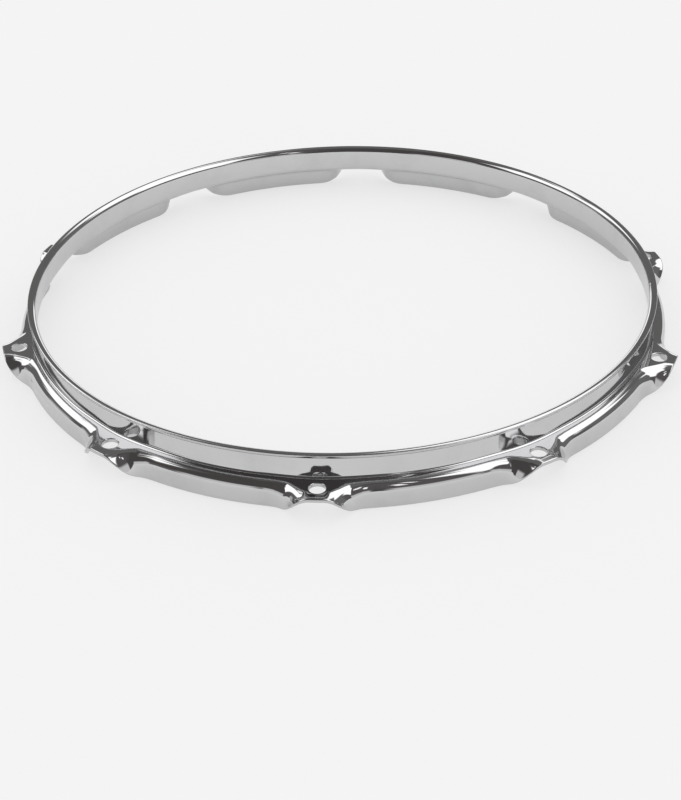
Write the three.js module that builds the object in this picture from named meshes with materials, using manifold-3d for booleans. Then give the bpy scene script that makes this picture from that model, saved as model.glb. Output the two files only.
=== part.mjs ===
// A 14 inch drum hoop with ten ears, pressed from one strip of steel sheet.
// Millimetres, +Z up. The ring's axis is Z and the skirt's lower edge lies on z = 0.
// One ear points along -Y, so the middle of a bay between two ears points along +X.

import * as THREE from 'three';
import { ParametricGeometry } from 'three/addons/geometries/ParametricGeometry.js';
import { mergeVertices } from 'three/addons/utils/BufferGeometryUtils.js';
import Module from 'manifold-3d';

// The sheet and the ring that it makes. The wall's radius is measured inside its top.

const sheetThickness = 2.3;
const edgeBreak = 0.5;
const wallInnerRadius = 182.6;
const hoopHeight = 30.2;

// The rim: the sheet's upper edge, turned outward and a little down for sticks to strike

const rimLipLength = 1.1;
const rimBendRadius = 3.4;
const rimDroop = THREE.MathUtils.degToRad(12);

// The wall between two ears: it leans out by the first angle at its top, by the second at its foot

const bayWallLean = THREE.MathUtils.degToRad(0.5);
const bayWallFlare = THREE.MathUtils.degToRad(5.5);

// The middle flange, which sits on the head, and the skirt, which hangs from it between the ears

const flangeHeight = 14.7;
const footFilletRadius = 1.6;
const bayFlangeFlat = 0.5;
const skirtBendRadius = 6.1;

// The ears: places where the skirt is pressed up level with the flange.
// Lengths run along the rod circle and are counted from the middle of an ear.

const earCount = 10;
const wallToRods = 10.1;
const rodHoleRadius = 4.5;
const earWallLean = THREE.MathUtils.degToRad(2.6);
const earWallFlare = THREE.MathUtils.degToRad(12);
const earFlatPastRods = 2.6;
const earFlatHalfLength = 4;
const earShoulderHalfLength = 18;
const earLipAngle = THREE.MathUtils.degToRad(2.4);
const earFoldRadius = 14;
const earFoldStartLength = 3.5;
const earFoldFullLength = 23.5;
const earFoldTightLength = 29;

// The butt weld that closes the ring, ground flush, in the middle of a bay

const weldWidth = 3;

// How finely curves are drawn

const rimBendSteps = 3;
const rimHollowSteps = 1;
const footOuterSteps = 3;
const footFilletSteps = 2;
const foldSteps = 5;
const holeSides = 24;
const bayStationShares = [0, 0.065, 0.13, 0.195, 0.26, 0.33, 0.44, 0.72];

// One overrun serves every cut

const cutOverrun = 5;

// Sizes that follow from the ones above. Turns are bends measured at the middle of the sheet.

const quarterTurn = Math.PI / 2;
const halfSheet = sheetThickness / 2;
const rimTurn = rimBendRadius - halfSheet;
const footTurn = footFilletRadius + halfSheet;
const bayTurn = skirtBendRadius - halfSheet;
const earTurn = earFoldRadius - halfSheet;
const wallMiddleRadius = wallInnerRadius + halfSheet;
const rodCircleRadius = wallInnerRadius + sheetThickness + wallToRods;
const bayHalfLength = Math.PI * rodCircleRadius / earCount;
const earFlatReach = rodCircleRadius + earFlatPastRods - wallMiddleRadius - wallAt(0).reach;
const skirtDrop = flangeHeight - skirtBendRadius;
const sheetBelowFoot = bayFlangeFlat + bayTurn * quarterTurn + skirtDrop;
const skirtReach = wallAt(bayHalfLength).reach + bayFlangeFlat + skirtBendRadius;

// Runs from 0 at the first length to 1 at the second, with no kink at either end.
function blend(from, to, length) {
  return THREE.MathUtils.smoothstep(length, from, to);
}

// How the wall runs at a length along the rod circle from an ear: its lean at the top, its flare
// at the foot, the radius of the curve between, and how far out from its top the flange begins.
function wallAt(length) {
  const share = blend(0, earFoldTightLength, length);
  const lean = THREE.MathUtils.lerp(earWallLean, bayWallLean, share);
  const flare = THREE.MathUtils.lerp(earWallFlare, bayWallFlare, share);
  const top = hoopHeight - rimBendRadius - rimTurn * Math.sin(lean);
  const foot = flangeHeight - halfSheet + footTurn * (1 - Math.sin(flare));
  const curve = (top - foot) / (Math.sin(flare) - Math.sin(lean));
  const rimReach = rimTurn * (1 - Math.cos(lean));
  const curveReach = curve * (Math.cos(lean) - Math.cos(flare));
  const reach = rimReach + curveReach + footTurn * Math.cos(flare);
  return { lean, flare, curve, reach };
}

// What the sheet does below the wall's foot at the same length: how far it runs flat, how far
// and at what radius it folds down, and how far it runs straight after the fold. The fold is
// never wider than the sheet that is left for it.
function foldAt(length) {
  const flat = THREE.MathUtils.lerp(
    earFlatReach,
    bayFlangeFlat,
    blend(earFlatHalfLength, earShoulderHalfLength, length)
  );
  const angle = THREE.MathUtils.lerp(
    earLipAngle,
    quarterTurn,
    blend(earFoldStartLength, earFoldFullLength, length)
  );
  const below = sheetBelowFoot - flat;
  const wide = THREE.MathUtils.lerp(earTurn, bayTurn, blend(0, earFoldTightLength, length));
  const bend = Math.min(wide, (below - edgeBreak) / angle);
  return { flat, angle, bend, straight: below - bend * angle };
}

// Walks along the middle of the sheet in the plane of radius and height. It drops a point
// on the face that lies offset to the left of the way it goes, from -halfSheet to halfSheet.
class SheetWalk {
  constructor(radius, height, heading, offset) {
    this.at = new THREE.Vector2(radius, height);
    this.heading = heading;
    this.offset = offset;
    this.points = [];
  }
  drop(back = 0, inset = 0) {
    const side = this.heading + quarterTurn;
    const reach = this.offset - Math.sign(this.offset) * inset;
    this.points.push(new THREE.Vector2(
      this.at.x + reach * Math.cos(side) + back * Math.cos(this.heading),
      this.at.y + reach * Math.sin(side) + back * Math.sin(this.heading)
    ));
  }
  run(length) {
    this.at.x += length * Math.cos(this.heading);
    this.at.y += length * Math.sin(this.heading);
  }
  // Goes round an arc, to the left for a positive angle, and drops nothing.
  swing(radius, angle) {
    this.heading += angle / 2;
    this.run(2 * radius * Math.sin(Math.abs(angle) / 2));
    this.heading += angle / 2;
  }
  turn(radius, angle, steps) {
    this.drop();
    for (let step = 0; step < steps; step += 1) {
      this.swing(radius, angle / steps);
      this.drop();
    }
  }
}

// A walk that stands at the rim's edge, on the face with the given offset.
function walkFromRim(offset) {
  const bendReach = rimTurn * (1 + Math.sin(rimDroop));
  const bendRise = rimTurn * Math.cos(rimDroop);
  return new SheetWalk(
    wallMiddleRadius + bendReach + rimLipLength * Math.cos(rimDroop),
    hoopHeight - rimBendRadius + bendRise - rimLipLength * Math.sin(rimDroop),
    Math.PI - rimDroop,
    offset
  );
}

// One face of the sheet, from the rim's edge to the skirt's or the ear's edge.
// The head side goes over the rim and down inside the ring, the rod side under and outside.
function faceLine(length, headSide) {
  const { lean, flare, curve } = wallAt(length);
  const { flat, angle, bend, straight } = foldAt(length);
  const walk = walkFromRim(headSide ? -halfSheet : halfSheet);
  walk.drop(0, edgeBreak);
  walk.drop(edgeBreak);
  walk.run(rimLipLength);
  walk.swing(rimTurn, rimDroop);
  walk.turn(rimTurn, quarterTurn + lean, headSide ? rimBendSteps : rimHollowSteps);
  walk.swing(curve, flare - lean);
  walk.turn(footTurn, quarterTurn - flare, headSide ? footOuterSteps : footFilletSteps);
  walk.run(flat);
  walk.turn(bend, -angle, foldSteps);
  walk.run(straight);
  walk.drop(-edgeBreak);
  walk.drop(0, edgeBreak);
  return walk.points;
}

// The closed outline of the sheet at a length along the rod circle from an ear.
function sectionAt(length) {
  return [...faceLine(length, false), ...faceLine(length, true).reverse()];
}

// Where the ring is sampled: angles in one turn, close together at the ears.
function stationAngles() {
  const bay = 2 * Math.PI / earCount;
  const angles = [];
  for (let ear = 0; ear < earCount; ear += 1) {
    const middle = ear * bay - quarterTurn;
    for (const share of bayStationShares) {
      angles.push(middle + share * bay / 2);
    }
    for (const share of [1, ...bayStationShares.slice(1).reverse()]) {
      angles.push(middle + bay - share * bay / 2);
    }
  }
  return angles;
}

// The arc along the rod circle from an angle to the nearest ear.
function lengthFromEar(angle) {
  const bay = 2 * Math.PI / earCount;
  const turn = THREE.MathUtils.euclideanModulo(angle + quarterTurn, bay);
  return rodCircleRadius * Math.min(turn, bay - turn);
}

function hoopGeometry() {
  const angles = stationAngles();
  const sections = angles.map((angle) => sectionAt(lengthFromEar(angle)));
  const corners = sections[0].length;
  const surface = (across, along, target) => {
    const station = Math.round(along * angles.length) % angles.length;
    const corner = Math.round(across * corners) % corners;
    const point = sections[station][corner];
    const angle = angles[station];
    target.set(point.x * Math.cos(angle), point.x * Math.sin(angle), point.y);
  };
  return new ParametricGeometry(surface, corners, angles.length);
}

// Joining and cutting

const wasm = await Module();
wasm.setup();

function toSolid(geometry) {
  const bare = geometry.clone();
  bare.deleteAttribute('normal');
  bare.deleteAttribute('uv');
  const merged = mergeVertices(bare);
  return new wasm.Manifold(new wasm.Mesh({
    numProp: 3,
    vertProperties: new Float32Array(merged.attributes.position.array),
    triVerts: new Uint32Array(merged.index.array),
  }));
}

function toGeometry(solid) {
  const mesh = solid.getMesh();
  const geometry = new THREE.BufferGeometry();
  geometry.setAttribute('position', new THREE.BufferAttribute(mesh.vertProperties, 3));
  geometry.setIndex(new THREE.BufferAttribute(mesh.triVerts, 1));
  geometry.computeVertexNormals();
  return geometry;
}

// A pin through the flange, square to it, for the tension rod's hole in one ear.
function rodHoleCutter(ear) {
  const depth = sheetThickness + 2 * cutOverrun;
  const angle = ear * 2 * Math.PI / earCount - quarterTurn;
  const pin = new THREE.CylinderGeometry(rodHoleRadius, rodHoleRadius, depth, holeSides);
  pin.rotateX(quarterTurn);
  pin.rotateZ(angle);
  pin.translate(
    rodCircleRadius * Math.cos(angle),
    rodCircleRadius * Math.sin(angle),
    flangeHeight - halfSheet
  );
  return pin;
}

// The short length of the ring that is weld metal.
function weldSlice() {
  const across = skirtReach + halfSheet + 2 * cutOverrun;
  const slice = new THREE.BoxGeometry(across, weldWidth, hoopHeight + 2 * cutOverrun);
  slice.translate(wallInnerRadius - cutOverrun + across / 2, 0, hoopHeight / 2);
  return slice;
}

// The pieces

function chromedSteel() {
  return new THREE.MeshStandardMaterial({ color: 0xc9cbcd, metalness: 1, roughness: 0.05 });
}

function groundWeld() {
  return new THREE.MeshStandardMaterial({ color: 0xbfc1c3, metalness: 1, roughness: 0.12 });
}

function makeHoop() {
  let ring = toSolid(hoopGeometry());
  for (let ear = 0; ear < earCount; ear += 1) {
    ring = ring.subtract(toSolid(rodHoleCutter(ear)));
  }
  const slice = toSolid(weldSlice());
  const strip = new THREE.Mesh(toGeometry(ring.subtract(slice)), chromedSteel());
  strip.name = 'hoop_strip';
  const weld = new THREE.Mesh(toGeometry(ring.intersect(slice)), groundWeld());
  weld.name = 'butt_weld';
  const hoop = new THREE.Group();
  hoop.name = 'drum_hoop';
  hoop.add(strip, weld);
  return hoop;
}

export default makeHoop();
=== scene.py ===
"""A pressed and chromed drum hoop for a 14 inch drum: the fine surface of its sheet, its punched
rod holes, its dressed weld and their plating, on a pale floor under soft studio light."""

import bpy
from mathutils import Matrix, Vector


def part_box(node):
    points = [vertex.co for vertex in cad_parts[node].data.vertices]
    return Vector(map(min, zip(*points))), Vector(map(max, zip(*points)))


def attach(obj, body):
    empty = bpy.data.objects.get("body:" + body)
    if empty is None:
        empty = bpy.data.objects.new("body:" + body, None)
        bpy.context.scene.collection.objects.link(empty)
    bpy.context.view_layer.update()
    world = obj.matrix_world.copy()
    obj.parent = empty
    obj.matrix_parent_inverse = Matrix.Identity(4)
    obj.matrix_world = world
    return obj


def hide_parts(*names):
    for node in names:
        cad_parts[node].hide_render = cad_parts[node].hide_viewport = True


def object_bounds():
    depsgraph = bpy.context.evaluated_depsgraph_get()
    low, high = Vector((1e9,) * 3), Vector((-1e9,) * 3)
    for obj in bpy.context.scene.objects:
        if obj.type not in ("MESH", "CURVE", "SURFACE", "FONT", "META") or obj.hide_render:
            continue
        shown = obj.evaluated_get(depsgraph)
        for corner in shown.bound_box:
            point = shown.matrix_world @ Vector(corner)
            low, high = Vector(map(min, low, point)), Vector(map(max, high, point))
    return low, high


bl_info = {
    "name": "Chromed Drum Hoop",
    "version": (1, 0, 0),
    "blender": (4, 5, 0),
    "location": "3D View > Sidebar > Drum Hoop",
    "description": "Builds a pressed and chromed drum hoop and a plain studio round it",
    "category": "Add Mesh",
}

import math
from typing import NamedTuple

import bpy
import numpy as np
from bpy.props import FloatProperty, FloatVectorProperty, IntProperty, PointerProperty
from mathutils import Matrix, Vector

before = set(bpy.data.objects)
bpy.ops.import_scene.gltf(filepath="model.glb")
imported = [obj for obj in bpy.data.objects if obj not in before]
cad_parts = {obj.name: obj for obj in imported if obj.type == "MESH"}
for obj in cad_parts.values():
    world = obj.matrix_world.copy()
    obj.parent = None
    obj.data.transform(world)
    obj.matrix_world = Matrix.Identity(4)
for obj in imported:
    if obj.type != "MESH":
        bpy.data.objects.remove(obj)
CAD_LOW, CAD_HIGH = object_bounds()
WELD_LOW, WELD_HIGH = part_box("butt_weld")

MM = 0.001
FULL_TURN = 2 * math.pi
QUARTER_TURN = math.pi / 2

# How finely the sheet is drawn, in steps along its section and along the ring

LIP_STEPS = 2
RIM_BEND_STEPS = 12
WALL_STEPS = 10
FOOT_BEND_STEPS = 12
FLAT_STEPS = 12
FOLD_STEPS = 28
EDGE_STEPS = 4
EAR_STEPS = 36
BAY_STEPS = 18
WELD_STEPS = 6

# Where things lie among the points of one section. The face on the rod side comes first, from the
# rim to the skirt, then the skirt's edge, the face on the head side and the rim's edge.

FLAT_START = LIP_STEPS + RIM_BEND_STEPS + WALL_STEPS + FOOT_BEND_STEPS
FACE_POINTS = FLAT_START + FLAT_STEPS + FOLD_STEPS + 1
HEAD_FACE_START = FACE_POINTS + 2 * EDGE_STEPS
HEAD_FACE_END = HEAD_FACE_START + FACE_POINTS
SECTION_POINTS = HEAD_FACE_END + 2 * EDGE_STEPS

# The points of one face, and the stations each way from an ear's middle, that a rod hole and its
# mouth take the place of, and how finely they are drawn

HOLE_FIRST = FLAT_START + 2
HOLE_LAST = FLAT_START + FLAT_STEPS + 15
HOLE_STATIONS = 10
HOLE_BLEND_STEPS = 4
HOLE_MOUTH_STEPS = 5

# The camera that took the photograph, in the hoop's own frame

CAMERA_PLACE = (0.07518, -0.94891, 0.55852)
CAMERA_TARGET = (0.00454, -0.08845, 0.0)
CAMERA_ROLL = math.radians(-1.566)
CAMERA_LENS = 81.25
CAMERA_SENSOR = 36.0


def linear(hex_colour):
    """An sRGB hex colour as the three linear values that Blender's colour sockets hold."""
    values = [int(hex_colour[place:place + 2], 16) / 255 for place in (1, 3, 5)]
    return tuple(v / 12.92 if v <= 0.04045 else ((v + 0.055) / 1.055) ** 2.4 for v in values)


def size(name, description, default):
    """A length that a user may change."""
    return FloatProperty(name=name, description=description, default=default, min=0.0,
                         unit="LENGTH", subtype="DISTANCE", precision=4)


def angle(name, description, degrees):
    """An angle that a user may change."""
    return FloatProperty(name=name, description=description, default=math.radians(degrees),
                         unit="ROTATION", subtype="ANGLE")


def colour(name, description, hex_colour):
    """A colour that a user may change."""
    return FloatVectorProperty(name=name, description=description, default=linear(hex_colour),
                               min=0.0, max=1.0, size=3, subtype="COLOR")


class SheetSizes(bpy.types.PropertyGroup):
    """The steel sheet and the section it is rolled to between two ears."""

    thickness: size("Sheet thickness", "Thickness of the steel sheet", 2.3 * MM)
    edge_rounding: size("Edge rounding", "Radius of the sheet's buffed edges", 0.6 * MM)
    wall_inner_radius: size("Wall inner radius", "Radius inside the top of the wall", 182.6 * MM)
    hoop_height: size("Hoop height", "Height from the skirt's edge to the rim's top",
                      CAD_HIGH[2] - CAD_LOW[2])
    rim_lip_length: size("Rim lip length", "Straight part of the rim, past its bend", 1.1 * MM)
    rim_bend_radius: size("Rim bend radius", "Radius over the rim, on its head side", 3.4 * MM)
    rim_droop: angle("Rim droop", "How far the rim slopes down outward", 12.0)
    flange_height: size("Flange height", "Height of the flange's top face", 14.7 * MM)
    foot_fillet_radius: size("Foot fillet radius", "Radius where wall and flange meet", 1.6 * MM)
    bay_lean: angle("Wall lean", "How far the wall's top leans out between two ears", 0.5)
    bay_flare: angle("Wall flare", "How far the wall's foot flares out between two ears", 5.5)
    bay_flange_flat: size("Flange flat", "Flat width of the flange between two ears", 0.5 * MM)
    skirt_bend_radius: size("Skirt bend radius", "Radius from the flange to the skirt", 6.1 * MM)


class EarSizes(bpy.types.PropertyGroup):
    """The ears. Lengths run along the rod circle and are counted from an ear's middle."""

    count: IntProperty(name="Ears", description="Number of ears round the ring", default=10, min=3)
    wall_to_rods: size("Wall to rods", "From the wall's outside to the rod circle", 10.1 * MM)
    flat_past_rods: size("Flat past rods", "How far an ear is flat past the rods", 2.6 * MM)
    lean: angle("Wall lean", "How far the wall's top leans out at an ear", 2.6)
    flare: angle("Wall flare", "How far the wall's foot flares out at an ear", 12.0)
    lip_angle: angle("Lip angle", "How far an ear's lip tips down", 2.4)
    fold_radius: size("Fold radius", "Radius of the fold at an ear's middle", 14 * MM)
    fold_start_length: size("Fold start", "Where the fold begins to turn down", 3.5 * MM)
    fold_full_length: size("Fold full", "Where the fold has turned all the way down", 23.5 * MM)
    fold_tight_length: size("Fold tight", "Where fold and wall are as in a bay", 29 * MM)
    flat_half_length: size("Flat half length", "Where an ear's flat begins to narrow", 4 * MM)
    shoulder_half_length: size("Shoulder half length", "Where the flat is narrow again", 18 * MM)
    hole_radius: size("Rod hole radius", "Radius of the punched rod holes", 4.5 * MM)
    mouth_rounding: size("Hole mouth rounding", "Radius where the punch went in", 0.5 * MM)
    exit_rounding: size("Hole exit rounding", "Radius where the punch came out", 0.25 * MM)


class WeldSizes(bpy.types.PropertyGroup):
    """The butt weld that closes the ring."""

    width: size("Weld width", "Width of the weld along the ring", WELD_HIGH[1] - WELD_LOW[1])
    dress_depth: size("Dressing depth", "How far dressing hollows the weld", 0.04 * MM)


class PlatingLook(bpy.types.PropertyGroup):
    """The plated finish."""

    chrome: colour("Chrome", "Colour of the chrome plate", "#CECECF")
    chrome_film: colour("Chrome film", "Chrome under a thin film from handling", "#C8C8C9")
    weld: colour("Plated weld", "Colour of the dressed and plated weld", "#C6C6C7")


class StudioLook(bpy.types.PropertyGroup):
    """The floor, and the studio that the chrome mirrors."""

    floor: colour("Floor", "Colour of the pale floor and of the backdrop", "#F4F4F4")
    ceiling: colour("Ceiling", "Colour of the dim studio overhead and behind", "#727170")
    drape: colour("Drape", "Colour of the dark drape in front of the hoop", "#524F4E")
    drape_end: colour("Drape end", "Colour of the drape's lighter right end", "#646061")
    under_lamps: colour("Under the lamps", "Colour of the shade under both lamps", "#646161")
    side_wall: colour("Side wall", "Colour of the wall on the right", "#7A7A7B")
    sweep: colour("Sweep", "Colour of the pale sweep under the drape", "#E2E1E2")
    gap: colour("Gap", "Colour of the dark gap in the sweep", "#545151")
    doorway: colour("Doorway", "Colour of the bright doorway on the left", "#C8C8CA")
    lamp: colour("Lamp", "Colour of the softboxes and tubes", "#FFFFFF")


class DrumHoopSettings(bpy.types.PropertyGroup):
    """Everything about the hoop and its studio that a user may change."""

    sheet: PointerProperty(type=SheetSizes)
    ears: PointerProperty(type=EarSizes)
    weld: PointerProperty(type=WeldSizes)
    plating: PointerProperty(type=PlatingLook)
    studio: PointerProperty(type=StudioLook)


# The shape of the sheet


def smooth_step(start, end, value):
    """Runs from 0 at start to 1 at end, with no kink at either end."""
    share = np.clip((value - start) / (end - start), 0.0, 1.0)
    return share * share * (3 - 2 * share)


def mix(first, second, share):
    """The value that lies the given share of the way from first to second."""
    return first + (second - first) * share


class SheetWalk:
    """Walks along the middle of the sheet in the plane of radius and height, at many stations of
    the ring at once, and drops a sample of radius, height and heading at each step."""

    def __init__(self, radius, height, heading, stations):
        self.radius = np.full(stations, radius)
        self.height = np.full(stations, height)
        self.heading = np.full(stations, heading)
        self.samples = []
        self.drop()

    def drop(self):
        """Drops a sample here."""
        self.samples.append((self.radius, self.height, self.heading))

    def advance(self, length):
        """Goes straight on."""
        self.radius = self.radius + length * np.cos(self.heading)
        self.height = self.height + length * np.sin(self.heading)

    def run(self, length, steps):
        """A straight run. Its steps are shorter near both ends, next to the bends."""
        for step in range(steps):
            near, far = (math.cos(math.pi * s / steps) for s in (step, step + 1))
            self.advance(length * (near - far) / 2)
            self.drop()

    def turn(self, radius, angle, steps, straight=0.0):
        """A bend, and what runs straight on after it, in even steps along both."""
        bend = radius * np.abs(angle)
        total = bend + straight
        for step in range(steps):
            start, end = total * step / steps, total * (step + 1) / steps
            bent = np.minimum(end, bend) - np.minimum(start, bend)
            half_turn = np.sign(angle) * bent / radius / 2
            self.heading = self.heading + half_turn
            self.advance(2 * radius * np.sin(np.abs(half_turn)))
            self.heading = self.heading + half_turn
            self.advance(end - start - bent)
            self.drop()


class SheetShape:
    """The pressed sheet as a formula: its section at any arc from the middle of an ear."""

    def __init__(self, sheet, ears):
        self.sheet = sheet
        self.ears = ears
        self.half = sheet.thickness / 2
        self.edge = sheet.edge_rounding
        self.wall_radius = sheet.wall_inner_radius + self.half
        self.rim_turn = sheet.rim_bend_radius - self.half
        self.foot_turn = sheet.foot_fillet_radius + self.half
        self.rod_circle_radius = self.wall_radius + self.half + ears.wall_to_rods
        ear_foot = self.wall_radius + self.foot_reach(ears.lean, ears.flare)
        self.ear_flat = self.rod_circle_radius + ears.flat_past_rods - ear_foot
        self.skirt_turn = sheet.skirt_bend_radius - self.half
        self.below_foot = (sheet.bay_flange_flat + self.skirt_turn * QUARTER_TURN
                           + sheet.flange_height - sheet.skirt_bend_radius)
        self.half_bay = math.pi * self.rod_circle_radius / ears.count

    def wall_curve(self, lean, flare):
        """The radius of the wall's own curve, from its lean at the top to its flare at the foot."""
        sheet = self.sheet
        top = sheet.hoop_height - sheet.rim_bend_radius - self.rim_turn * np.sin(lean)
        foot = sheet.flange_height - self.half + self.foot_turn * (1 - np.sin(flare))
        return (top - foot) / (np.sin(flare) - np.sin(lean))

    def foot_reach(self, lean, flare):
        """How far the flange's inner end stands out from the top of the wall."""
        return (self.rim_turn * (1 - np.cos(lean))
                + self.wall_curve(lean, flare) * (np.cos(lean) - np.cos(flare))
                + self.foot_turn * np.cos(flare))

    def fold(self, arcs):
        """What the sheet does below the wall's foot: how far it runs flat, how far and at what
        radius it folds down, and how far it runs straight on after the fold. The fold is never
        wider than the sheet that is left for it."""
        ears = self.ears
        shoulder = smooth_step(ears.flat_half_length, ears.shoulder_half_length, arcs)
        flat = mix(self.ear_flat, self.sheet.bay_flange_flat, shoulder)
        turned = smooth_step(ears.fold_start_length, ears.fold_full_length, arcs)
        angle = mix(ears.lip_angle, QUARTER_TURN, turned)
        tight = smooth_step(0.0, ears.fold_tight_length, arcs)
        wide = mix(ears.fold_radius - self.half, self.skirt_turn, tight)
        below = self.below_foot - flat
        bend = np.minimum(wide, (below - self.edge) / angle)
        return flat, angle, bend, below - bend * angle

    def middle(self, arcs):
        """Radius, height and heading along the middle of the sheet, from the rim's edge to the
        skirt's, both short of it by the edge's rounding. Each has a row for each arc."""
        sheet = self.sheet
        flat, angle, bend, straight = self.fold(arcs)
        toward_bay = smooth_step(0.0, self.ears.fold_tight_length, arcs)
        lean = mix(self.ears.lean, sheet.bay_lean, toward_bay)
        flare = mix(self.ears.flare, sheet.bay_flare, toward_bay)
        droop = sheet.rim_droop
        lip = sheet.rim_lip_length - self.edge
        walk = SheetWalk(
            self.wall_radius + self.rim_turn * (1 + math.sin(droop)) + lip * math.cos(droop),
            sheet.hoop_height - sheet.rim_bend_radius + self.rim_turn * math.cos(droop)
            - lip * math.sin(droop), math.pi - droop, len(arcs))
        walk.run(lip, LIP_STEPS)
        walk.turn(self.rim_turn, QUARTER_TURN + droop + lean, RIM_BEND_STEPS)
        walk.turn(self.wall_curve(lean, flare), flare - lean, WALL_STEPS)
        walk.turn(self.foot_turn, QUARTER_TURN - flare, FOOT_BEND_STEPS)
        walk.run(flat, FLAT_STEPS)
        walk.turn(bend, -angle, FOLD_STEPS, straight=straight - self.edge)
        return np.array(walk.samples).transpose(1, 2, 0)

    def section(self, arcs, thinning=0.0):
        """The sheet's outline at each arc, as radius and height: down its rod side, round the
        skirt's edge, up its head side and round the rim's edge."""
        radius, height, heading = self.middle(arcs)
        half = np.reshape(self.half - thinning, (-1, 1))
        across = heading + QUARTER_TURN

        def side(sign):
            return np.stack([radius + sign * half * np.cos(across),
                             height + sign * half * np.sin(across)], axis=-1)

        def rounding(sample, forward, sign):
            """A quarter circle from one face of the sheet to its cut edge."""
            turn = QUARTER_TURN * np.arange(1, EDGE_STEPS + 1) / EDGE_STEPS
            out = sign * (half - self.edge + self.edge * np.cos(turn))
            along = forward * self.edge * np.sin(turn)
            ahead = heading[:, sample, None]
            beside = across[:, sample, None]
            return np.stack([
                radius[:, sample, None] + out * np.cos(beside) + along * np.cos(ahead),
                height[:, sample, None] + out * np.sin(beside) + along * np.sin(ahead),
            ], axis=-1)

        return np.concatenate([
            side(1), rounding(-1, 1, 1), rounding(-1, 1, -1)[:, ::-1],
            side(-1)[:, ::-1], rounding(0, -1, -1), rounding(0, -1, 1)[:, ::-1],
        ], axis=1)

    def face_height(self, arcs, radii, sign):
        """The height of the flange's face at each arc and radius near an ear's middle."""
        radius, height, heading = (rows[:, FLAT_START:] for rows in self.middle(arcs))
        across = heading + QUARTER_TURN
        face_radius = radius + sign * self.half * np.cos(across)
        face_height = height + sign * self.half * np.sin(across)
        return np.array([np.interp(*row) for row in zip(radii, face_radius, face_height)])


# The place of each finish among a mesh's materials: on the sheet's faces and on its cut edges

FACE_FINISH = 0
EDGE_FINISH = 1


class MeshMaker:
    """Gathers a mesh's points, its faces with their finishes, and its sharp edges."""

    def __init__(self):
        self.points = []
        self.faces = []
        self.sharp = []
        self.finishes = []
        self.count = 0

    def add_points(self, points):
        """Adds points and returns their numbers, in the same layout."""
        flat = np.asarray(points).reshape(-1, 3)
        numbers = np.arange(self.count, self.count + len(flat))
        self.points.append(flat)
        self.count += len(flat)
        return numbers.reshape(np.shape(points)[:-1])

    def add_faces(self, faces, finish):
        """Adds faces that have equally many corners, in rows of points' numbers."""
        self.faces += faces.tolist()
        self.finishes += [finish] * len(faces)

    def bridge(self, first, second, finish):
        """Joins two closed loops of points. Seen from outside, the way round runs to the left
        of the way from first to second."""
        quads = [first, second, np.roll(second, -1), np.roll(first, -1)]
        self.add_faces(np.stack(quads, axis=-1), finish)

    def make(self, name, materials):
        """The finished mesh as an object in the scene."""
        mesh = bpy.data.meshes.new(name)
        mesh.from_pydata(np.concatenate(self.points).tolist(), [], self.faces)
        mesh.polygons.foreach_set("use_smooth", [True] * len(mesh.polygons))
        mesh.polygons.foreach_set("material_index", self.finishes)
        sharp = {frozenset(edge) for edge in self.sharp}
        for edge in mesh.edges:
            if frozenset(edge.vertices) in sharp:
                edge.use_edge_sharp = True
        for material in materials:
            mesh.materials.append(material)
        mesh.validate()
        made = bpy.data.objects.new(name, mesh)
        bpy.context.scene.collection.objects.link(made)
        return made


def row_finishes():
    """The finish of each row of faces along the ring, in the order of a section's points."""
    place = np.arange(SECTION_POINTS)
    skirt_edge = (place >= FACE_POINTS - 1) & (place < HEAD_FACE_START)
    rim_edge = place >= HEAD_FACE_END - 1
    return np.where(skirt_edge | rim_edge, EDGE_FINISH, FACE_FINISH)


def sweep(maker, section, angles, skipped=False):
    """Lays the sections along the ring, joins them except where skipped is true, and closes both
    ends. Angles holds one value for each point of each section. Returns the points' numbers."""
    points = np.stack([section[..., 0] * np.cos(angles), section[..., 0] * np.sin(angles),
                       section[..., 1]], axis=-1)
    numbers = maker.add_points(points)
    following = np.roll(numbers, -1, axis=1)
    quads = np.stack([numbers[:-1], following[:-1], following[1:], numbers[1:]], axis=-1)
    kept = np.broadcast_to(~np.asarray(skipped), quads.shape[:2])
    finishes = row_finishes()
    for finish in (FACE_FINISH, EDGE_FINISH):
        maker.add_faces(quads[kept & (finishes == finish)], finish)
    for station, order in ((0, -1), (-1, 1)):
        close_end(maker, numbers[station], order)
    return numbers


def close_end(maker, corners, order):
    """Closes the sheet's end, where the strip and the weld meet, and keeps its outline sharp."""
    rod_side = corners[:FACE_POINTS]
    head_side = corners[HEAD_FACE_START:HEAD_FACE_END][::-1]
    quads = np.stack([rod_side[:-1], rod_side[1:], head_side[1:], head_side[:-1]], axis=-1)
    skirt_edge = corners[FACE_POINTS - 1:HEAD_FACE_START + 1]
    rim_edge = np.append(corners[HEAD_FACE_END - 1:], corners[0])
    for faces in (quads, skirt_edge[None], rim_edge[None]):
        maker.add_faces(faces[:, ::order], FACE_FINISH)
    maker.sharp += np.stack([corners, np.roll(corners, -1)], axis=-1).tolist()


def ear_arcs(shape):
    """Arcs from a bay's middle over an ear to the next bay's middle, close together at the ear."""
    ear = np.linspace(0.0, shape.ears.fold_full_length, EAR_STEPS + 1)
    bay = np.linspace(shape.ears.fold_full_length, shape.half_bay, BAY_STEPS + 1)[1:]
    outward = np.concatenate([ear, bay])
    return np.concatenate([-outward[:0:-1], outward])


def weld_edge_angles(radii, weld):
    """The angle at which each radius meets the flat face between the strip and the weld."""
    return np.arcsin(weld.width / 2 / radii)


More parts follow.
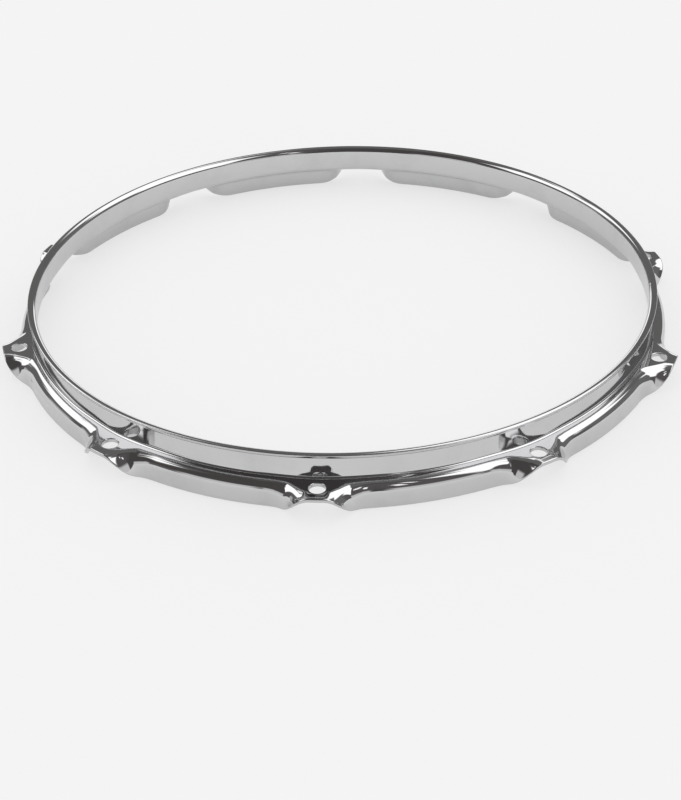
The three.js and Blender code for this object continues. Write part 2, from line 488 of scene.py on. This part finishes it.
def hole_cells(stations, ear_stations):
    """Marks the cells of both faces that the rod holes take the place of."""
    marked = np.zeros((stations - 1, SECTION_POINTS), bool)
    head_first = HEAD_FACE_END - 1 - HOLE_LAST
    head_last = HEAD_FACE_END - 1 - HOLE_FIRST
    for middle in ear_stations:
        cells = marked[middle - HOLE_STATIONS:middle + HOLE_STATIONS]
        cells[:, HOLE_FIRST:HOLE_LAST] = True
        cells[:, head_first:head_last] = True
    return marked


def hole_border(numbers, middle, sign):
    """The closed border of the cells cut out for one rod hole, on the face that the sign picks:
    the rod side where it is 1 and the head side where it is -1."""
    rod_face = numbers[:, :FACE_POINTS]
    head_face = numbers[:, HEAD_FACE_START:HEAD_FACE_END][:, ::-1]
    face = rod_face if sign > 0 else head_face
    cut = face[middle - HOLE_STATIONS:middle + HOLE_STATIONS + 1, HOLE_FIRST:HOLE_LAST + 1]
    return np.concatenate([cut[:-1, 0], cut[-1, :-1], cut[:0:-1, -1], cut[0, :0:-1]])


def hole_rings(maker, shape, ear_angle, border, sign):
    """Rings of points from the border of the cut-out cells to the bore, on one face: first over
    the flange to the hole's mouth, then round the mouth into the bore."""
    ears = shape.ears
    mouth = ears.mouth_rounding if sign > 0 else ears.exit_rounding
    centre = shape.rod_circle_radius
    points = np.concatenate(maker.points)[border]
    outward = np.array([math.cos(ear_angle), math.sin(ear_angle)])
    sideways = np.array([-outward[1], outward[0]])
    edge_across = points[:, :2] @ sideways
    edge_out = points[:, :2] @ outward - centre
    way = np.arctan2(edge_out, edge_across)
    rings = []

    def add_ring(across, out, height):
        plan = np.outer(across, sideways) + np.outer(centre + out, outward)
        rings.append(maker.add_points(np.column_stack([plan, height])))

    def height_at(across, out):
        radii = np.hypot(across, centre + out)
        arcs = np.abs(np.arctan2(across, centre + out)) * centre
        return shape.face_height(arcs, radii, sign)

    mouth_radius = ears.hole_radius + mouth
    for step in range(1, HOLE_BLEND_STEPS + 1):
        share = step / HOLE_BLEND_STEPS
        across = mix(edge_across, mouth_radius * np.cos(way), share)
        out = mix(edge_out, mouth_radius * np.sin(way), share)
        top = height_at(across, out)
        add_ring(across, out, top)
    for step in range(1, HOLE_MOUTH_STEPS + 1):
        turn = QUARTER_TURN * step / HOLE_MOUTH_STEPS
        radius = ears.hole_radius + mouth * (1 - math.sin(turn))
        sink = sign * mouth * (1 - math.cos(turn))
        add_ring(radius * np.cos(way), radius * np.sin(way), top - sink)
    return rings


def punch_hole(maker, numbers, shape, ear_angle, middle):
    """Fills the cut-out cells of both faces round one rod hole, and joins them through the bore.
    Middle is the station at the ear's middle."""
    rod_border = hole_border(numbers, middle, 1)
    head_border = hole_border(numbers, middle, -1)
    rod_rings = [rod_border, *hole_rings(maker, shape, ear_angle, rod_border, 1)]
    head_rings = [head_border, *hole_rings(maker, shape, ear_angle, head_border, -1)]
    loops = [*rod_rings, *head_rings[::-1]]
    bore = len(rod_rings) - 1
    for place, (first, second) in enumerate(zip(loops, loops[1:])):
        maker.bridge(first, second, EDGE_FINISH if place == bore else FACE_FINISH)


def make_strip(settings):
    """The pressed strip: one sheet all round the ring, from one face of the weld to the other."""
    shape = SheetShape(settings.sheet, settings.ears)
    count = settings.ears.count
    spacing = FULL_TURN / count
    one_ear = ear_arcs(shape)
    arcs = np.concatenate([*[one_ear[:-1]] * count, one_ear[-1:]])
    ear_angles = [spacing / 2 + spacing * ear for ear in range(count)]
    angles = np.concatenate([
        *[middle + one_ear[:-1] / shape.rod_circle_radius for middle in ear_angles], [FULL_TURN]
    ])
    section = shape.section(np.abs(arcs))
    point_angles = np.repeat(angles[:, None], SECTION_POINTS, axis=1)
    point_angles[0] = weld_edge_angles(section[0, :, 0], settings.weld)
    point_angles[-1] = FULL_TURN - weld_edge_angles(section[-1, :, 0], settings.weld)
    per_ear = len(one_ear) - 1
    ear_stations = [per_ear * ear + per_ear // 2 for ear in range(count)]
    maker = MeshMaker()
    numbers = sweep(maker, section, point_angles, hole_cells(len(arcs), ear_stations))
    for ear_angle, middle in zip(ear_angles, ear_stations):
        punch_hole(maker, numbers, shape, ear_angle, middle)
    plating = settings.plating
    return maker.make("hoop_sheet", [chrome_plate(plating), plated_cut_edge(plating)])


def make_weld(settings):
    """The butt weld: the same section as the strip, hollowed a little where it was dressed."""
    shape = SheetShape(settings.sheet, settings.ears)
    shares = np.linspace(-1.0, 1.0, WELD_STEPS + 1)
    arcs = np.full(len(shares), shape.half_bay)
    section = shape.section(arcs, settings.weld.dress_depth * (1 - shares ** 2))
    angles = weld_edge_angles(section[..., 0], settings.weld) * shares[:, None]
    maker = MeshMaker()
    sweep(maker, section, angles)
    plating = settings.plating
    return maker.make("weld_seam", [dressed_weld(plating), plated_cut_edge(plating)])


# Finishes


def add_node(tree, kind, sockets=None, **settings):
    """Adds a node with its settings. A socket's value may be a number or another node's socket."""
    node = tree.nodes.new(kind)
    for name, value in settings.items():
        setattr(node, name, value)
    for name, value in (sockets or {}).items():
        if isinstance(value, bpy.types.NodeSocket):
            tree.links.new(value, node.inputs[name])
        else:
            node.inputs[name].default_value = value
    return node


def new_material(name):
    """An empty node material with its shader and output joined."""
    material = bpy.data.materials.new(name)
    material.use_nodes = True
    tree = material.node_tree
    tree.nodes.clear()
    shader = add_node(tree, "ShaderNodeBsdfPrincipled", {"Metallic": 1.0})
    add_node(tree, "ShaderNodeOutputMaterial", {"Surface": shader.outputs["BSDF"]})
    return material, tree, shader


def radius_and_height(tree, place):
    """The distance from the ring's axis and the height, in metres, of a place on the hoop."""
    parts = add_node(tree, "ShaderNodeSeparateXYZ", {"Vector": place}).outputs
    flat = add_node(tree, "ShaderNodeCombineXYZ", {"X": parts["X"], "Y": parts["Y"]})
    radius = add_node(tree, "ShaderNodeVectorMath", {0: flat.outputs["Vector"]},
                      operation="LENGTH")
    return radius.outputs["Value"], parts["Z"]


# How large the marks of each finish are, how deep they go, and how far the buffing lines wander

HAZE_PATCHES = 22 * MM
SHEET_WAVES = 16 * MM
SHEET_WAVE_DEPTH = 0.012 * MM
BUFFING_LINES = 0.7 * MM
BUFFING_LINE_DEPTH = 0.0006 * MM
BUFFING_DRIFT = 60 * MM
BUFFING_WANDER = 4 * MM
SHEARING_MARKS = 0.9 * MM
SHEARING_MARK_DEPTH = 0.006 * MM
DRESSING_LINES = 0.5 * MM
DRESSING_LINE_DEPTH = 0.002 * MM

# Nearly all of what a noise texture gives lies between these

NOISE_LOW = 0.3
NOISE_HIGH = 0.7


def chrome_plate(plating):
    """Decorative chrome: nickel and a thin layer of chromium, electroplated over buffed steel. The
    eye sees a cool mirror, a little wavy from the pressing, with faint hazy patches from
    handling and the finest of lines that follow the ring, left by the buffing wheel. Real
    buffing lines are finer; these are as coarse as they need to be to show."""
    material, tree, shader = new_material("chrome_plate")
    place = add_node(tree, "ShaderNodeTexCoord").outputs["Object"]
    radius, height = radius_and_height(tree, place)
    haze = add_node(tree, "ShaderNodeTexNoise", {
        "Vector": place, "Scale": 1 / HAZE_PATCHES, "Detail": 4.0, "Roughness": 0.6})
    film = add_node(tree, "ShaderNodeMapRange", {
        "Value": haze.outputs["Fac"], "From Min": 0.5, "From Max": 0.72})
    tint = add_node(tree, "ShaderNodeMix", {
        "Factor": film.outputs["Result"], "A": (*plating.chrome, 1.0),
        "B": (*plating.chrome_film, 1.0)}, data_type="RGBA")
    rough = add_node(tree, "ShaderNodeMapRange", {
        "Value": haze.outputs["Fac"], "From Min": 0.35, "From Max": 0.75,
        "To Min": 0.03, "To Max": 0.09})
    waves = add_node(tree, "ShaderNodeTexNoise", {
        "Vector": place, "Scale": 1 / SHEET_WAVES, "Detail": 1.0})
    ripple = add_node(tree, "ShaderNodeBump", {
        "Height": waves.outputs["Fac"], "Strength": 1.0, "Distance": SHEET_WAVE_DEPTH})
    drift = add_node(tree, "ShaderNodeTexNoise", {"Vector": place, "Scale": 1 / BUFFING_DRIFT})
    wander = add_node(tree, "ShaderNodeMath", {0: drift.outputs["Fac"], 1: BUFFING_WANDER},
                      operation="MULTIPLY")
    along = add_node(tree, "ShaderNodeCombineXYZ", {
        "X": radius, "Y": height, "Z": wander.outputs["Value"]})
    lines = add_node(tree, "ShaderNodeTexNoise", {
        "Vector": along.outputs["Vector"], "Scale": 1 / BUFFING_LINES, "Detail": 3.0})
    buffing = add_node(tree, "ShaderNodeBump", {
        "Height": lines.outputs["Fac"], "Strength": 1.0, "Distance": BUFFING_LINE_DEPTH,
        "Normal": ripple.outputs["Normal"]})
    tree.links.new(tint.outputs["Result"], shader.inputs["Base Color"])
    tree.links.new(rough.outputs["Result"], shader.inputs["Roughness"])
    tree.links.new(buffing.outputs["Normal"], shader.inputs["Normal"])
    return material


def plated_cut_edge(plating):
    """Plating over the sheet's sheared and buffed edge, and over the bore of a punched hole. The
    eye sees the same metal, duller, with short marks that run through the sheet's thickness."""
    material, tree, shader = new_material("plated_cut_edge")
    place = add_node(tree, "ShaderNodeTexCoord").outputs["Object"]
    marks = add_node(tree, "ShaderNodeTexNoise", {
        "Vector": place, "Scale": 1 / SHEARING_MARKS, "Detail": 3.0})
    dull = add_node(tree, "ShaderNodeMapRange", {
        "Value": marks.outputs["Fac"], "From Min": NOISE_LOW, "From Max": NOISE_HIGH,
        "To Min": 0.12, "To Max": 0.28})
    bump = add_node(tree, "ShaderNodeBump", {
        "Height": marks.outputs["Fac"], "Strength": 1.0, "Distance": SHEARING_MARK_DEPTH})
    shader.inputs["Base Color"].default_value = (*plating.chrome_film, 1.0)
    tree.links.new(dull.outputs["Result"], shader.inputs["Roughness"])
    tree.links.new(bump.outputs["Normal"], shader.inputs["Normal"])
    return material


def dressed_weld(plating):
    """The butt weld after the belt grinder and plating. The eye sees a narrow band across the
    sheet that mirrors less sharply, with fine dressing lines that follow the ring."""
    material, tree, shader = new_material("dressed_weld")
    place = add_node(tree, "ShaderNodeTexCoord").outputs["Object"]
    radius, height = radius_and_height(tree, place)
    along = add_node(tree, "ShaderNodeCombineXYZ", {"X": radius, "Y": height})
    lines = add_node(tree, "ShaderNodeTexNoise", {
        "Vector": along.outputs["Vector"], "Scale": 1 / DRESSING_LINES, "Detail": 3.0})
    rough = add_node(tree, "ShaderNodeMapRange", {
        "Value": lines.outputs["Fac"], "From Min": NOISE_LOW, "From Max": NOISE_HIGH,
        "To Min": 0.08, "To Max": 0.2})
    bump = add_node(tree, "ShaderNodeBump", {
        "Height": lines.outputs["Fac"], "Strength": 1.0, "Distance": DRESSING_LINE_DEPTH})
    shader.inputs["Base Color"].default_value = (*plating.weld, 1.0)
    tree.links.new(rough.outputs["Result"], shader.inputs["Roughness"])
    tree.links.new(bump.outputs["Normal"], shader.inputs["Normal"])
    return material


# The studio: the floor's side, its gap under the skirt, and how much of the hoop's shadow on it
# the camera sees and the chrome mirrors

FLOOR_SIZE = 40.0
FLOOR_GAP = 0.1 * MM
SHOWN_SHADOW = 0.3
MIRRORED_SHADOW = 0.6


class Zone(NamedTuple):
    """A part of the studio as seen from the hoop: the azimuth of its middle, half its width, its
    lowest and highest elevation, and how softly its sides and its top and bottom fade, all in
    degrees. Azimuth 0 is +X and 90 is +Y. Glow is how many times as bright as its colour it is."""

    look: str
    azimuth: float
    half_width: float
    low: float
    high: float
    side_fade: float
    rise_fade: float
    glow: float = 1.0


# Each zone lies over those before it

ZONES = (
    Zone("drape", -98, 56, 12, 84, 8, 12),
    Zone("drape", 180, 36, 60, 76, 10, 8),
    Zone("drape_end", -60, 18, 17, 75, 20, 9),
    Zone("under_lamps", -5, 40, -20, 28, 6, 4),
    Zone("under_lamps", -165, 20, -20, 18, 6, 4),
    Zone("side_wall", 22, 22, -20, 28, 14, 6),
    Zone("sweep", -91, 49, -20, 16, 6, 10),
    Zone("gap", -93, 21, -20, 24, 6, 8),
    Zone("doorway", 168, 6, -20, 9, 4, 4),
    Zone("lamp", 95, 22, -5, 13, 4, 3, glow=1.5),
    Zone("lamp", -20, 20, 22, 68, 6, 5, glow=1.7),
    Zone("lamp", 16, 18, 30, 73, 4, 4, glow=1.7),
    Zone("lamp", 45, 17, 41, 68, 8, 6, glow=1.7),
    Zone("lamp", 74, 16, 40, 58, 8, 6, glow=1.7),
    Zone("lamp", -170, 12, 24, 52, 6, 4, glow=1.7),
    Zone("lamp", 166, 18, 24, 59, 6, 4, glow=1.7),
    Zone("lamp", 136, 16, 29, 44, 6, 4, glow=1.7),
    Zone("lamp", 130, 20, 47, 52, 6, 2, glow=1.2),
    Zone("lamp", -66, 2, 37, 50, 1.5, 3, glow=1.6),
    Zone("lamp", -58, 1.5, 50, 62, 1.5, 3, glow=1.6),
    Zone("lamp", 87, 2, 51, 56, 1.5, 2, glow=1.6),
)


def matt_painted_board(studio):
    """A matt painted board. The eye sees an even pale ground, with a soft shadow under the hoop
    that shows more in the chrome than on the board itself."""
    material = bpy.data.materials.new("matt_painted_board")
    material.use_nodes = True
    tree = material.node_tree
    tree.nodes.clear()
    rays = add_node(tree, "ShaderNodeLightPath").outputs
    mirrored = add_node(tree, "ShaderNodeMath", {
        0: rays["Is Glossy Ray"], 1: rays["Is Transmission Ray"]}, operation="MAXIMUM")
    shown = add_node(tree, "ShaderNodeMath", {
        0: rays["Is Camera Ray"], 1: 1 - SHOWN_SHADOW}, operation="MULTIPLY")
    even = add_node(tree, "ShaderNodeMath", {
        0: mirrored.outputs["Value"], 1: 1 - MIRRORED_SHADOW, 2: shown.outputs["Value"]},
        operation="MULTIPLY_ADD")
    lit = add_node(tree, "ShaderNodeBsdfDiffuse", {"Color": (*studio.floor, 1.0)})
    plain = add_node(tree, "ShaderNodeEmission", {"Color": (*studio.floor, 1.0)})
    surface = add_node(tree, "ShaderNodeMixShader", {
        "Fac": even.outputs["Value"], 1: lit.outputs["BSDF"], 2: plain.outputs["Emission"]})
    add_node(tree, "ShaderNodeOutputMaterial", {"Surface": surface.outputs["Shader"]})
    return material


def make_floor(studio):
    """A wide flat floor just under the skirt."""
    reach = FLOOR_SIZE / 2
    mesh = bpy.data.meshes.new("studio_floor")
    corners = [(-reach, -reach), (reach, -reach), (reach, reach), (-reach, reach)]
    level = CAD_LOW[2] - FLOOR_GAP
    mesh.from_pydata([(x, y, level) for x, y in corners], [], [(0, 1, 2, 3)])
    mesh.materials.append(matt_painted_board(studio))
    floor = bpy.data.objects.new("studio_floor", mesh)
    bpy.context.scene.collection.objects.link(floor)
    return floor


def zone_mask(tree, azimuth, elevation, zone):
    """A socket that is 1 inside the zone and 0 outside it, and fades between."""
    aside = add_node(tree, "ShaderNodeMath", {0: azimuth, 1: zone.azimuth},
                     operation="SUBTRACT").outputs["Value"]
    aside = add_node(tree, "ShaderNodeMath", {0: aside, 1: 180.0, 2: -180.0},
                     operation="WRAP").outputs["Value"]
    above = add_node(tree, "ShaderNodeMath", {0: elevation, 1: (zone.low + zone.high) / 2},
                     operation="SUBTRACT").outputs["Value"]
    half_height = (zone.high - zone.low) / 2
    masks = []
    for offset, half, fade in ((aside, zone.half_width, zone.side_fade),
                               (above, half_height, zone.rise_fade)):
        distance = add_node(tree, "ShaderNodeMath", {0: offset}, operation="ABSOLUTE")
        masks.append(add_node(tree, "ShaderNodeMapRange", {
            "Value": distance.outputs["Value"],
            "From Min": half - fade / 2, "From Max": half + fade / 2,
            "To Min": 1.0, "To Max": 0.0}, interpolation_type="SMOOTHSTEP").outputs["Result"])
    return add_node(tree, "ShaderNodeMath", {0: masks[0], 1: masks[1]},
                    operation="MULTIPLY").outputs["Value"]


def make_world(studio):
    """Even white light on everything. Mirrors see the studio's zones, and the camera sees a pale
    backdrop."""
    world = bpy.data.worlds.new("studio")
    bpy.context.scene.world = world
    world.use_nodes = True
    tree = world.node_tree
    tree.nodes.clear()
    toward = add_node(tree, "ShaderNodeTexCoord").outputs["Generated"]
    parts = add_node(tree, "ShaderNodeSeparateXYZ", {"Vector": toward}).outputs
    turn = add_node(tree, "ShaderNodeMath", {0: parts["Y"], 1: parts["X"]}, operation="ARCTAN2")
    rise = add_node(tree, "ShaderNodeMath", {0: parts["Z"]}, operation="ARCSINE")
    azimuth, elevation = (
        add_node(tree, "ShaderNodeMath", {0: way.outputs["Value"]},
                 operation="DEGREES").outputs["Value"] for way in (turn, rise))
    seen = (*studio.ceiling, 1.0)
    for zone in ZONES:
        lit = [value * zone.glow for value in getattr(studio, zone.look)]
        seen = add_node(tree, "ShaderNodeMix", {
            "Factor": zone_mask(tree, azimuth, elevation, zone), "A": seen, "B": (*lit, 1.0)},
            data_type="RGBA").outputs["Result"]
    rays = add_node(tree, "ShaderNodeLightPath").outputs
    mirrored = add_node(tree, "ShaderNodeMath", {
        0: rays["Is Glossy Ray"], 1: rays["Is Transmission Ray"]}, operation="MAXIMUM")
    even = add_node(tree, "ShaderNodeBackground", {"Color": (1.0, 1.0, 1.0, 1.0)})
    zones = add_node(tree, "ShaderNodeBackground", {"Color": seen})
    backdrop = add_node(tree, "ShaderNodeBackground", {"Color": (*studio.floor, 1.0)})
    light = add_node(tree, "ShaderNodeMixShader", {
        "Fac": mirrored.outputs["Value"], 1: even.outputs["Background"],
        2: zones.outputs["Background"]})
    shown = add_node(tree, "ShaderNodeMixShader", {
        "Fac": rays["Is Camera Ray"], 1: light.outputs["Shader"],
        2: backdrop.outputs["Background"]})
    add_node(tree, "ShaderNodeOutputWorld", {"Surface": shown.outputs["Shader"]})


def make_camera():
    """The camera at the photograph's place, turned a little about its own axis."""
    data = bpy.data.cameras.new("photo_camera")
    data.lens = CAMERA_LENS
    data.sensor_width = CAMERA_SENSOR
    camera = bpy.data.objects.new("photo_camera", data)
    place, target = Vector(CAMERA_PLACE), Vector(CAMERA_TARGET)
    aim = (target - place).to_track_quat("-Z", "Y").to_matrix()
    turn = Matrix.Rotation(CAMERA_ROLL, 3, "Z")
    camera.matrix_world = Matrix.Translation(place) @ (aim @ turn).to_4x4()
    bpy.context.scene.collection.objects.link(camera)
    bpy.context.scene.camera = camera
    bpy.context.scene.view_settings.view_transform = "Standard"


# What a user runs


class HOOP_OT_build_strip(bpy.types.Operator):
    """Build the pressed and chromed strip, with its rim, flange, skirt and ears"""

    bl_idname = "hoop.build_strip"
    bl_label = "Build strip"

    def execute(self, context):
        strip = make_strip(context.scene.drum_hoop)
        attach(strip, "root")
        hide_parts("hoop_strip")
        return {"FINISHED"}


class HOOP_OT_build_weld(bpy.types.Operator):
    """Build the dressed butt weld that closes the ring"""

    bl_idname = "hoop.build_weld"
    bl_label = "Build weld"

    def execute(self, context):
        weld = make_weld(context.scene.drum_hoop)
        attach(weld, "root")
        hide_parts("butt_weld")
        return {"FINISHED"}


class HOOP_OT_build_studio(bpy.types.Operator):
    """Build the pale floor, the studio round it and the camera"""

    bl_idname = "hoop.build_studio"
    bl_label = "Build studio"

    def execute(self, context):
        studio = context.scene.drum_hoop.studio
        make_floor(studio)
        make_world(studio)
        make_camera()
        return {"FINISHED"}


class HOOP_PT_sidebar(bpy.types.Panel):
    """Sizes, finishes and steps of the drum hoop"""

    bl_idname = "HOOP_PT_sidebar"
    bl_label = "Drum Hoop"
    bl_space_type = "VIEW_3D"
    bl_region_type = "UI"
    bl_category = "Drum Hoop"

    def draw(self, context):
        settings = context.scene.drum_hoop
        for group in (settings.sheet, settings.ears, settings.weld, settings.plating,
                      settings.studio):
            box = self.layout.box()
            for name in type(group).__annotations__:
                box.prop(group, name)
        for step in STEPS:
            self.layout.operator(step.bl_idname)


STEPS = (HOOP_OT_build_strip, HOOP_OT_build_weld, HOOP_OT_build_studio)
CLASSES = (SheetSizes, EarSizes, WeldSizes, PlatingLook, StudioLook, DrumHoopSettings,
           *STEPS, HOOP_PT_sidebar)


def register():
    for part in CLASSES:
        bpy.utils.register_class(part)
    bpy.types.Scene.drum_hoop = PointerProperty(type=DrumHoopSettings)


def unregister():
    del bpy.types.Scene.drum_hoop
    for part in reversed(CLASSES):
        bpy.utils.unregister_class(part)


def main():
    register()
    bpy.ops.hoop.build_studio()
    bpy.ops.hoop.build_strip()
    bpy.ops.hoop.build_weld()


if __name__ == "__main__":
    main()
